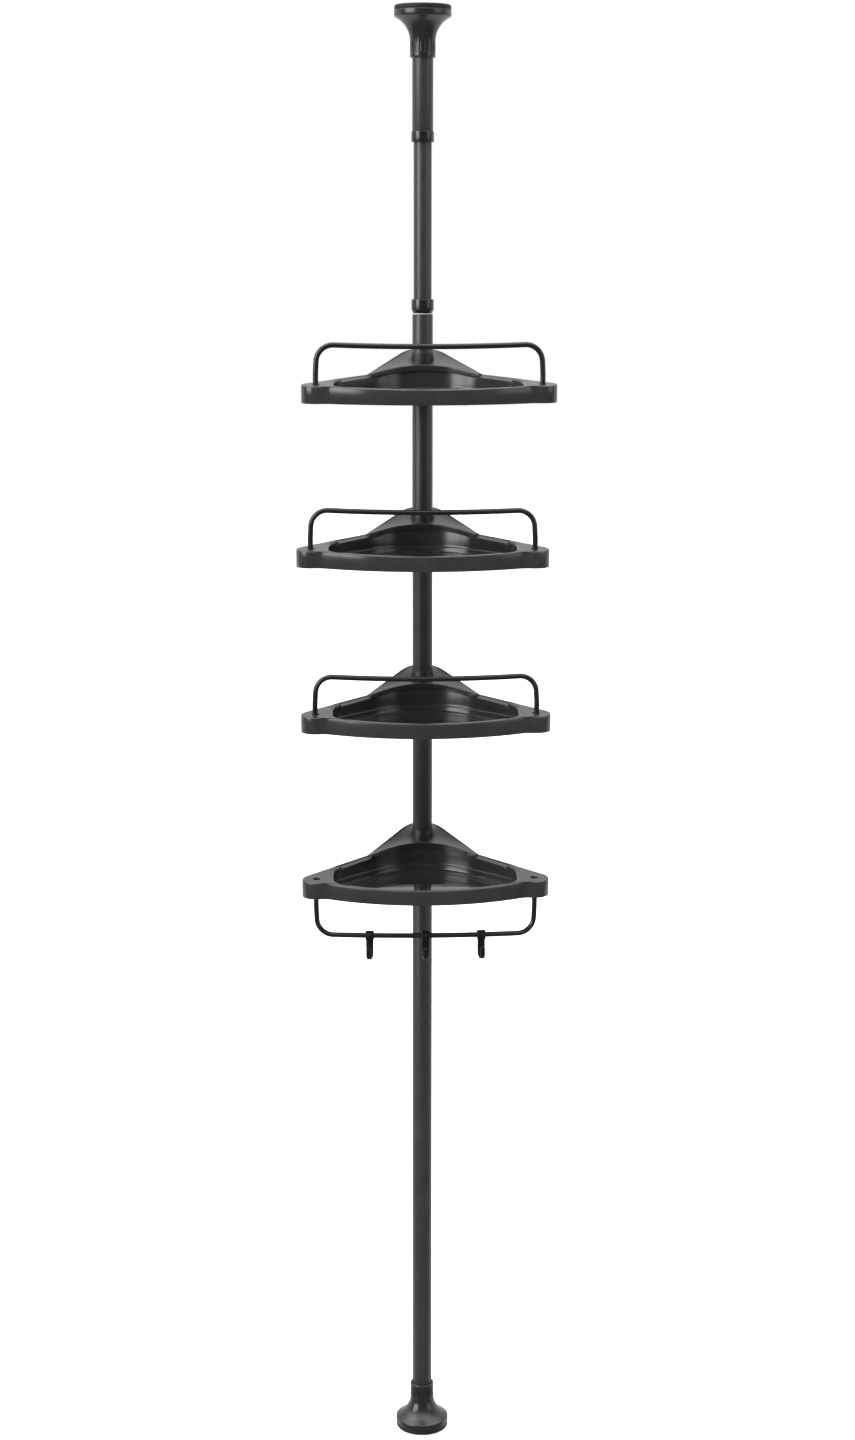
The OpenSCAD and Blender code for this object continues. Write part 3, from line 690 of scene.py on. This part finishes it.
# ---------------------------------------------------------------- rails and hooks

def sweep(path, radius, sides=24):
    """Round wire along a path of points, with flat ends."""
    p = [Vector(q) for q in path]
    tangents = []
    for i in range(len(p)):
        a, b = p[max(0, i - 1)], p[min(len(p) - 1, i + 1)]
        tangents.append((b - a).normalized())
    rings = []
    up = Vector((0, 1, 0)) if abs(tangents[0].y) < 0.8 else Vector((0, 0, 1))
    n = (up - tangents[0] * up.dot(tangents[0])).normalized()
    for q, t in zip(p, tangents):
        n = (n - t * n.dot(t)).normalized()
        b = t.cross(n)
        rings.append((q, n.copy(), b))
    verts = []
    for q, n, b in rings:
        for k in range(sides):
            a = 2 * math.pi * k / sides
            verts.append(tuple(q + n * (radius * math.cos(a)) + b * (radius * math.sin(a))))
    faces = ring_faces(len(rings), sides)
    faces += [tuple(range(sides - 1, -1, -1)), tuple((len(rings) - 1) * sides + k for k in range(sides))]
    return verts, faces


CORNER_R = 20.0
BOW = math.radians(7.0)
BAR_R = (BOSS_X - CORNER_R * math.cos(BOW)) / math.sin(BOW)
BAR_Y = BOSS_Y - BAR_R * (1 - math.cos(BOW)) - CORNER_R * math.sin(BOW)


def rail_path(height, post, sag):
    """Rail with its bar's ends at this height; its posts run back to the height post."""
    flip = 1 if height > post else -1
    ex, ey = BAR_R * math.sin(BOW), BAR_Y + BAR_R * (1 - math.cos(BOW))
    right = []
    for k in range(25):
        t = k / 24
        b = BOW * k / 24
        right.append((BAR_R * math.sin(b), BAR_Y + BAR_R * (1 - math.cos(b)), height - sag * (1 - t ** 2)))
    for k in range(1, 17):
        g = math.pi / 2 * k / 16
        reach = CORNER_R * math.sin(g)
        right.append((ex + reach * math.cos(BOW), ey + reach * math.sin(BOW),
                      height - flip * CORNER_R * (1 - math.cos(g))))
    x, y, z = right[-1]
    for k in range(1, 13):
        t = k / 12
        splay = 0.8 * math.sin(math.pi * min(1.0, t * 1.15)) * (1 - t * 0.2) * (t < 0.87)
        right.append((x + splay, y, z + (post - z) * t))
    return [(-x, y, z) for x, y, z in reversed(right[1:])] + right


def hook_points():
    """Hook round a wire along X: ring, shank, bend towards the front and a slim prong."""
    bore = WIRE_R + 0.5
    ring = rounded([(bore, -5.0), (6.2, -5.0, 0.8), (6.2, 5.0, 0.8), (bore, 5.0)], 0.4, 3)
    verts, faces = [], []
    count, steps = len(ring), 48
    for i in range(steps):
        t = 2 * math.pi * i / steps
        verts += [(x, r * math.cos(t), r * math.sin(t)) for r, x in ring]
    faces += ring_faces(steps, count, wrap=True)
    # the strip: centre line in the YZ plane with half width and half thickness
    line = []
    for z in np.linspace(-4.6, -16.9, 8):
        line.append((0.0, z, 4.6, 1.6))
    for k in range(1, 17):
        a = math.radians(180 * k / 16)
        y, z = -8 + 8 * math.cos(a), -18 - 8 * math.sin(a)
        t = min(1.0, max(0.0, (k - 3) / 7))
        line.append((y, z, 4.6 + (2.8 - 4.6) * t * t * (3 - 2 * t), 1.6))
    for z in (-16.5, -15.0, -13.5, -12.4, -11.6, -11.0, -10.6, -10.45):
        f = 1.0 if z <= -12.4 else math.sqrt(max(0.04, 1 - ((z + 12.4) / 1.95) ** 2))
        line.append((-16.0, z, 2.8 * (0.55 + 0.45 * f), 1.6 * f))
    base = len(verts)
    corner = [(math.cos(math.radians(a)), math.sin(math.radians(a))) for a in (0, 30, 60, 90)]
    rings = []
    for j, (y, z, w, h) in enumerate(line):
        a, b = line[max(0, j - 1)], line[min(len(line) - 1, j + 1)]
        ty, tz = b[0] - a[0], b[1] - a[1]
        length = math.hypot(ty, tz) or 1.0
        ny, nz = tz / length, -ty / length
        cr = min(0.9, h * 0.7)
        pts = []
        for sx, sn, order in ((1, 1, corner), (-1, 1, corner[::-1]), (-1, -1, corner), (1, -1, corner[::-1])):
            for cx, cn in order:
                x = sx * (w - cr + cr * cx)
                n = sn * (h - cr + cr * cn)
                pts.append((x, y + ny * n, z + nz * n))
        rings.append(pts)
    m = len(rings[0])
    for pts in rings:
        verts += pts
    faces += [tuple(base + i for i in f) for f in ring_faces(len(rings), m)]
    faces += [tuple(base + k for k in range(m - 1, -1, -1)),
              tuple(base + (len(rings) - 1) * m + k for k in range(m))]
    return verts, faces


for n in (1, 2, 3, 4):
    z, turn, _ = tray_frame(n)
    tray = bpy.data.objects.new(f"tray_{n}_body", master.data.copy())
    bpy.context.scene.collection.objects.link(tray)
    c, s = math.cos(turn), math.sin(turn)
    co = np.empty(len(tray.data.vertices) * 3, np.float32)
    tray.data.vertices.foreach_get("co", co)
    co = co.reshape(-1, 3)
    co = np.stack([co[:, 0] * c - co[:, 1] * s, co[:, 0] * s + co[:, 1] * c, co[:, 2] + z * MM], 1)
    tray.data.vertices.foreach_set("co", co.ravel())
    tray.data.update()
    finish_piece(tray, "tray_plastic", f"tray_{n}")
    for side, word in ((-1, "front"), (1, "rear")):
        v, f = sleeve_half(side)
        finish_piece(make(f"clip_{word}_{n}_half", moved(v, turn, (0, 0, z)), f, CLIP), "clip_plastic",
                     f"clip_{word}_{n}")
    rail_low, rail_high = span(f"rail_{n}")
    if rail_high[2] > z:
        path = rail_path(rail_high[2] - z - WIRE_R, rail_low[2] - z, 1.8)
    else:
        path = rail_path(rail_low[2] - z + WIRE_R, rail_high[2] - z, 0.0)
    v, f = sweep(path, WIRE_R)
    finish_piece(make(f"rail_{n}_wire", moved(v, turn, (0, 0, z)), f, RAIL), "rail_coat", f"rail_{n}")

for node in ("hook_left", "hook_centre", "hook_right"):
    z, turn, _ = tray_frame(4)
    low, high = span(node)
    middle = (low + high) / 2
    local_x = middle[0] * math.cos(turn) + middle[1] * math.sin(turn)
    a = math.asin(local_x / BAR_R)
    v, f = hook_points()
    v = moved(v, a, (BAR_R * math.sin(a), BAR_Y + BAR_R * (1 - math.cos(a)), high[2] - z - 6.2))
    finish_piece(make(f"{node}_piece", moved(v, turn, (0, 0, z)), f, HOOK), "hook_plastic", node)

bpy.data.objects.remove(master)


# ---------------------------------------------------------------- stage, light and camera

floor_mesh = bpy.data.meshes.new("floor")
floor_mesh.from_pydata([(-9, -7, 0), (9, -7, 0), (9, 11, 0), (-9, 11, 0)], [], [(0, 1, 2, 3)])
floor = bpy.data.objects.new("floor", floor_mesh)
bpy.context.scene.collection.objects.link(floor)
floor.location.z = floor_z * MM - 0.0002
pale = bpy.data.materials.new("pale_floor")
pale.use_nodes = True
pale.node_tree.nodes["Principled BSDF"].inputs["Base Color"].default_value = (0.86, 0.86, 0.86, 1)
pale.node_tree.nodes["Principled BSDF"].inputs["Roughness"].default_value = 0.9
pale.node_tree.nodes["Principled BSDF"].inputs["Specular IOR Level"].default_value = 0.1
floor_mesh.materials.append(pale)
floor.visible_glossy = False


def studio_world():
    """Soft studio surroundings: plain white to the eye, brighter and darker walls for the light."""
    world = bpy.data.worlds.new("studio")
    bpy.context.scene.world = world
    world.use_nodes = True
    nt = world.node_tree
    nt.nodes.clear()
    link = nt.links.new

    def math_node(op, a, b=None, c=None):
        node = nt.nodes.new("ShaderNodeMath")
        node.operation = op
        for i, v in enumerate((a, b, c)):
            if v is None:
                continue
            if isinstance(v, (int, float)):
                node.inputs[i].default_value = v
            else:
                link(v, node.inputs[i])
        return node.outputs[0]

    def ramp(value, a, b):
        node = nt.nodes.new("ShaderNodeMapRange")
        node.interpolation_type = "SMOOTHSTEP"
        link(value, node.inputs["Value"])
        node.inputs["From Min"].default_value = a
        node.inputs["From Max"].default_value = b
        return node.outputs["Result"]

    coords = nt.nodes.new("ShaderNodeTexCoord")
    parts = nt.nodes.new("ShaderNodeSeparateXYZ")
    link(coords.outputs["Generated"], parts.inputs["Vector"])
    x, y, z = parts.outputs
    azimuth = math_node("MULTIPLY", math_node("ARCTAN2", x, math_node("MULTIPLY", y, -1.0)), 180 / math.pi)
    elevation = math_node("MULTIPLY", math_node("ARCSINE", z), 180 / math.pi)

    def box_light(az0, az1, el0, el1, strength, soft_az=6.0, soft_el=6.0):
        """Soft panel between azimuths (0 towards the camera, positive to the right) and elevations."""
        a = math_node("MULTIPLY", ramp(azimuth, az0 - soft_az / 2, az0 + soft_az / 2),
                      ramp(azimuth, az1 + soft_az / 2, az1 - soft_az / 2))
        e = math_node("MULTIPLY", ramp(elevation, el0 - soft_el / 2, el0 + soft_el / 2),
                      ramp(elevation, el1 + soft_el / 2, el1 - soft_el / 2))
        return math_node("MULTIPLY", math_node("MULTIPLY", a, e), strength)

    back = math_node("MULTIPLY", ramp(y, -0.05, 0.25), 0.85)
    sky = math_node("MULTIPLY", ramp(elevation, 28.0, 58.0), 2.6)
    total = math_node("ADD", math_node("MAXIMUM", back, sky), 0.10)
    panels = [(-72, -36, -1, 26, 7.0, 6, 2), (48, 82, -2, 22, 1.6, 12, 8), (-110, -50, 26, 70, 2.0, 20, 12)]
    for p in panels:
        total = math_node("ADD", total, box_light(*p))
    lit = nt.nodes.new("ShaderNodeBackground")
    lit.inputs["Color"].default_value = (1, 1, 1, 1)
    link(total, lit.inputs["Strength"])
    plain = nt.nodes.new("ShaderNodeBackground")
    plain.inputs["Color"].default_value = (1, 1, 1, 1)
    plain.inputs["Strength"].default_value = 1.0
    path = nt.nodes.new("ShaderNodeLightPath")
    mix = nt.nodes.new("ShaderNodeMixShader")
    link(path.outputs["Is Camera Ray"], mix.inputs["Fac"])
    link(lit.outputs["Background"], mix.inputs[1])
    link(plain.outputs["Background"], mix.inputs[2])
    out = nt.nodes.new("ShaderNodeOutputWorld")
    link(mix.outputs["Shader"], out.inputs["Surface"])


studio_world()


def add_area(name, place, target, size, power):
    light = bpy.data.lights.new(name, "AREA")
    light.shape = "RECTANGLE"
    light.size, light.size_y = size
    light.energy = power
    obj = bpy.data.objects.new(name, light)
    bpy.context.scene.collection.objects.link(obj)
    obj.location = place
    obj.rotation_euler = (Vector(target) - Vector(place)).to_track_quat("-Z", "Y").to_euler()
    obj.visible_glossy = False
    return obj


add_area("overhead", (0.0, 0.3, 4.2), (0.0, 0.0, 0.0), (5.0, 5.0), 240.0)

camera = bpy.data.cameras.new("camera")
camera.sensor_fit = "VERTICAL"
camera.sensor_height = 36.0
camera.sensor_width = 36.0
camera.lens = 2392.5 / 1440 * 36.0
camera.clip_end = 60.0
cam = bpy.data.objects.new("camera", camera)
bpy.context.scene.collection.objects.link(cam)
low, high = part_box("lower_pole")
axis_x, axis_y = (low.x + high.x) / 2, (low.y + high.y) / 2
cam.location = (axis_x + 0.00585, axis_y - 2.9416, floor_z * MM + 1.5538)
cam.rotation_mode = "XYZ"
cam.rotation_euler = (math.pi / 2 - 0.2002, -0.001, 0.0)
bpy.context.scene.camera = cam
bpy.context.scene.view_settings.view_transform = "Standard"
